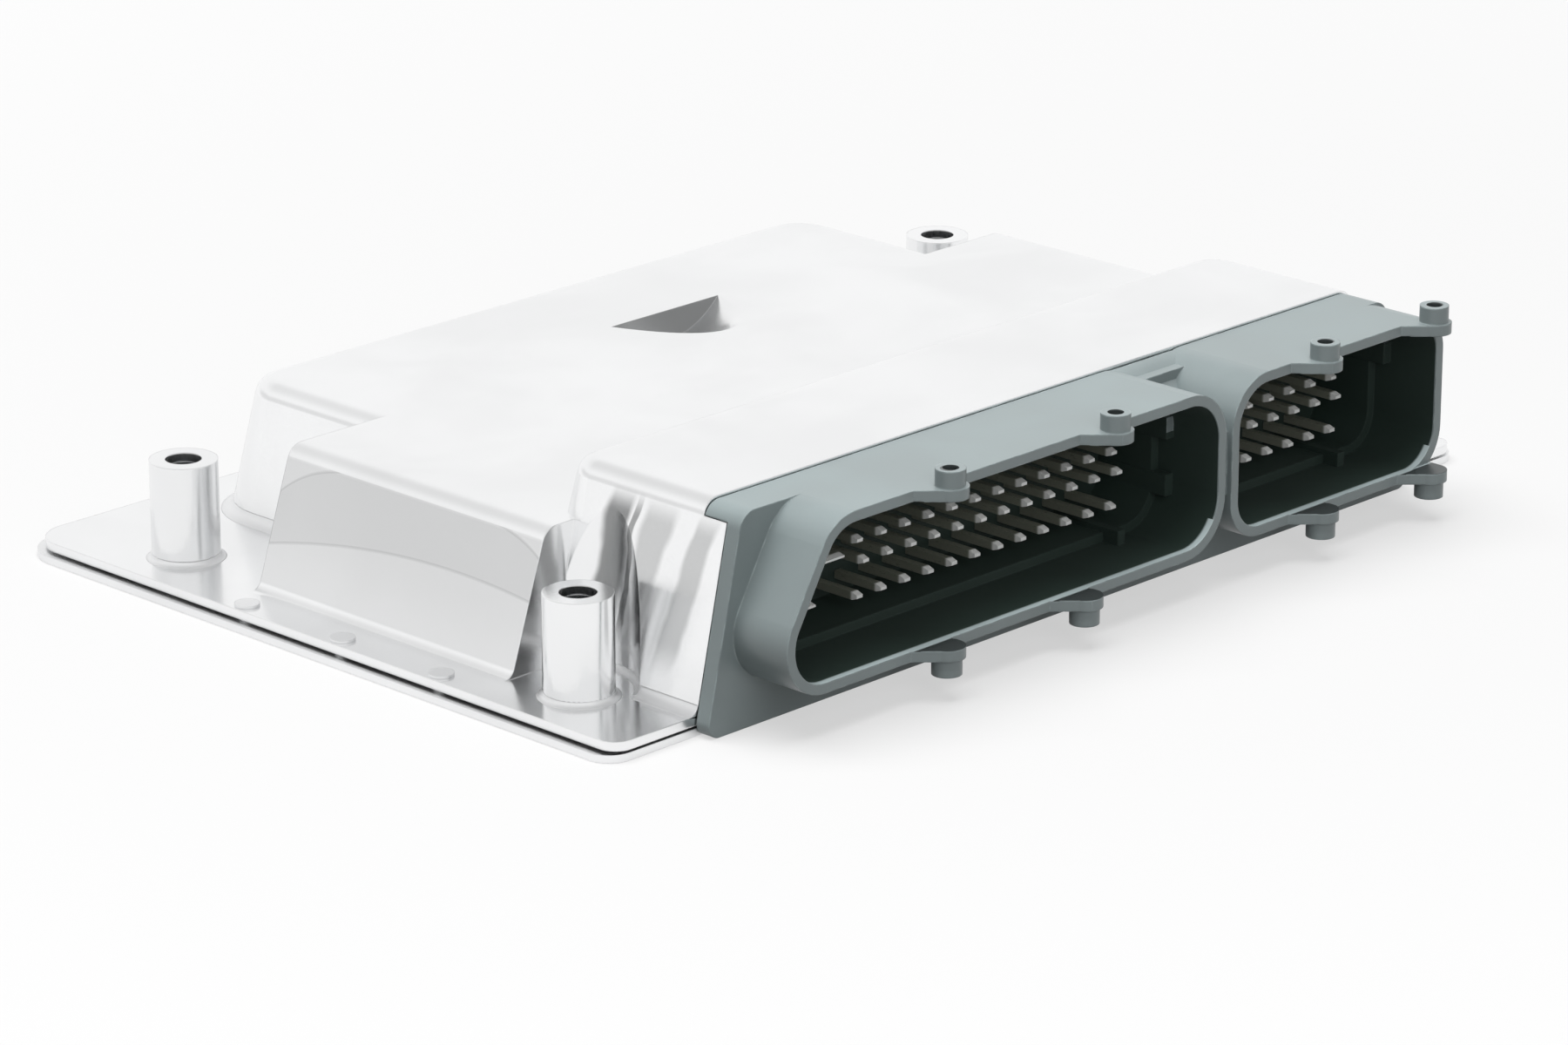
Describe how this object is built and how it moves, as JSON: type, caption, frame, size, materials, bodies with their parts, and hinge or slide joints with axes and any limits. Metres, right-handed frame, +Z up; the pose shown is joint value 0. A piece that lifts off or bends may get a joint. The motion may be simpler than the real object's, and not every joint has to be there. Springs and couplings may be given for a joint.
{
  "type": "engine control unit",
  "caption": "Engine control unit: a drawn aluminium housing on a flat base, with a grey plastic header whose pin sockets take the plugs of a wiring harness.",
  "frame": {"origin": "middle of the bounding box on the underside of the base plate", "axes": "+X along the header from the large socket to the small one, the sockets open towards -Y, +Z up from the base"},
  "size_m": [0.189, 0.1464, 0.0347],
  "materials": {
    "lid": "bright drawn sheet",
    "base_plate": "plain sheet",
    "header_plastic": "moulded, satin",
    "seal": "soft bead",
    "board": "solder mask",
    "contacts": "tinned",
    "steel": "zinc plated",
    "package": "moulded chip package",
    "can": "drawn can",
    "ferrite": "sintered",
    "ceramic_chip": "fired",
    "pad": "soft filled pad"
  },
  "bodies": {
    "root": {"lid": "lid", "base_plate": "base_plate", "connector_header": "header_plastic", "header_seal": "seal", "lid_seal": "seal", "circuit_board": "board", "large_pins_top": "contacts", "large_pins_upper": "contacts", "large_pins_lower": "contacts", "large_pins_bottom": "contacts", "small_pins_top": "contacts", "small_pins_upper": "contacts", "small_pins_lower": "contacts", "small_pins_bottom": "contacts", "power_blades": "contacts", "spacer_sleeves": "steel", "lid_rivets": "steel", "board_posts": "steel", "board_screws": "steel", "header_screws": "steel", "microcontroller": "package", "memory_chip": "package", "driver_chips": "package", "ignition_transistors": "package", "voltage_regulator": "package", "interface_chips": "package", "crystal": "can", "buffer_capacitors": "can", "inductor": "ferrite", "filter_capacitors": "ceramic_chip", "suppressor_diode": "package", "thermal_pads": "pad"}
  },
  "joints": []
}
